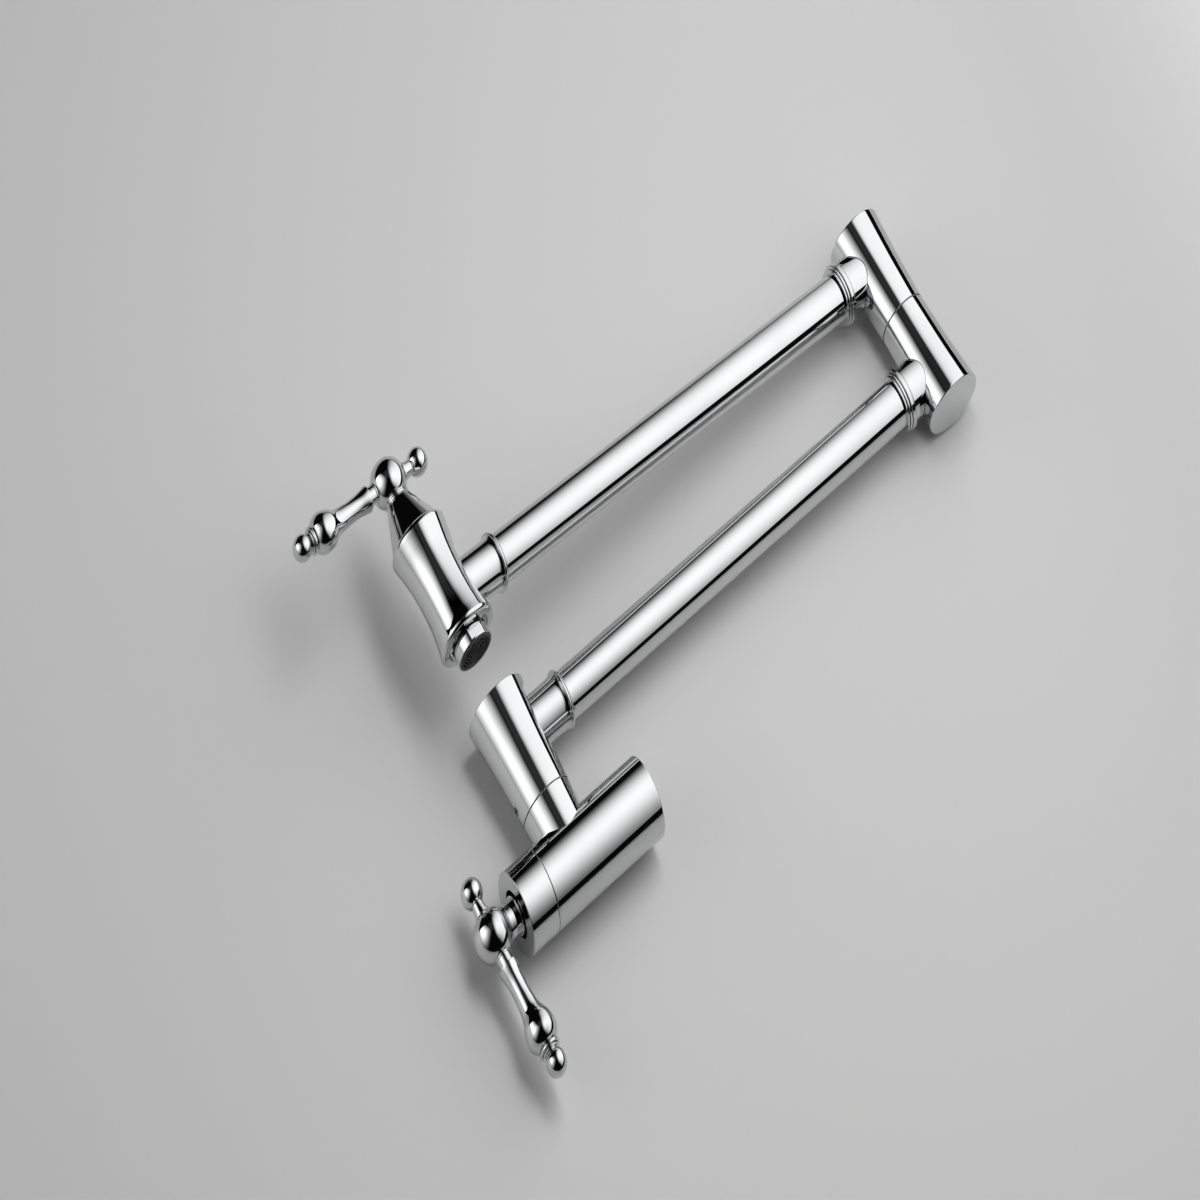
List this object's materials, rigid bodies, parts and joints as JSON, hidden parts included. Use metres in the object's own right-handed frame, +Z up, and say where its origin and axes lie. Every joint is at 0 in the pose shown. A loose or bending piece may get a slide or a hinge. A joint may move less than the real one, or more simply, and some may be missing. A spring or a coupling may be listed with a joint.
{
  "type": "wall mounted pot filler",
  "caption": "Folding wall tap for filling pots: two swivel arms, a quarter-turn lever valve at the wall and another at the outlet.",
  "frame": {"origin": "centre of the inlet at the rear face of the wall body, which stands on the wall", "axes": "+Y into the wall along the inlet, +Z up along the swivels, +X to the right seen from the front"},
  "size_m": [0.0691, 0.4136, 0.2653],
  "materials": {
    "chrome": "polished chrome plate on brass",
    "brass": "turned, bare",
    "rubber": "moulded, matt black",
    "ceramic": "lapped ceramic, off-white",
    "steel": "plain stainless steel",
    "washer_plastic": "slippery white plastic",
    "screen_plastic": "dark moulded plastic with concentric ribs"
  },
  "bodies": {
    "wall_mount": {"wall_body": "chrome", "front_cover": "chrome", "wall_cartridge_body": "brass", "wall_seat_seal": "rubber", "wall_fixed_disc": "ceramic", "post_pivot": "brass", "post_seals": "rubber"},
    "wall_handle": {"wall_handle_hub": "chrome", "wall_lever": "chrome", "wall_finial": "chrome", "wall_spindle": "brass", "wall_spindle_clip": "steel", "wall_moving_disc": "ceramic"},
    "lower_arm": {"post_knuckle": "chrome", "post_thrust_washer": "washer_plastic", "post_retaining_screw": "steel", "lower_neck_ring": "chrome", "lower_tube": "chrome", "lower_elbow_collar": "chrome", "elbow_lower": "chrome", "elbow_pivot": "brass", "elbow_seals": "rubber"},
    "upper_arm": {"elbow_upper": "chrome", "elbow_thrust_washer": "washer_plastic", "elbow_retaining_screw": "steel", "upper_elbow_collar": "chrome", "upper_tube": "chrome", "upper_neck_ring": "chrome", "outlet_body": "chrome", "outlet_bonnet": "chrome", "outlet_cartridge_body": "brass", "outlet_seat_seal": "rubber", "outlet_fixed_disc": "ceramic", "aerator_shell": "chrome", "aerator_screen": "screen_plastic", "aerator_washer": "rubber"},
    "outlet_handle": {"outlet_handle_hub": "chrome", "outlet_lever": "chrome", "outlet_finial": "chrome", "outlet_spindle": "brass", "outlet_spindle_clip": "steel", "outlet_moving_disc": "ceramic"}
  },
  "joints": [
    {"name": "post_swivel", "type": "hinge", "parent": "wall_mount", "child": "lower_arm", "pos_m": [0, -0.051, 0.0284], "axis": [0, 0, 1], "continuous": true},
    {"name": "elbow_swivel", "type": "hinge", "parent": "lower_arm", "child": "upper_arm", "pos_m": [0, 0.268, 0.0919], "axis": [0, 0, 1], "continuous": true},
    {"name": "wall_valve", "type": "hinge", "parent": "wall_mount", "child": "wall_handle", "pos_m": [0, -0.1094, 0], "axis": [0, -1, 0], "range_deg": [0, 90]},
    {"name": "outlet_valve", "type": "hinge", "parent": "upper_arm", "child": "outlet_handle", "pos_m": [0.03153, -0.05949, 0.1858], "axis": [0, 0, 1], "range_deg": [0, 90]}
  ]
}
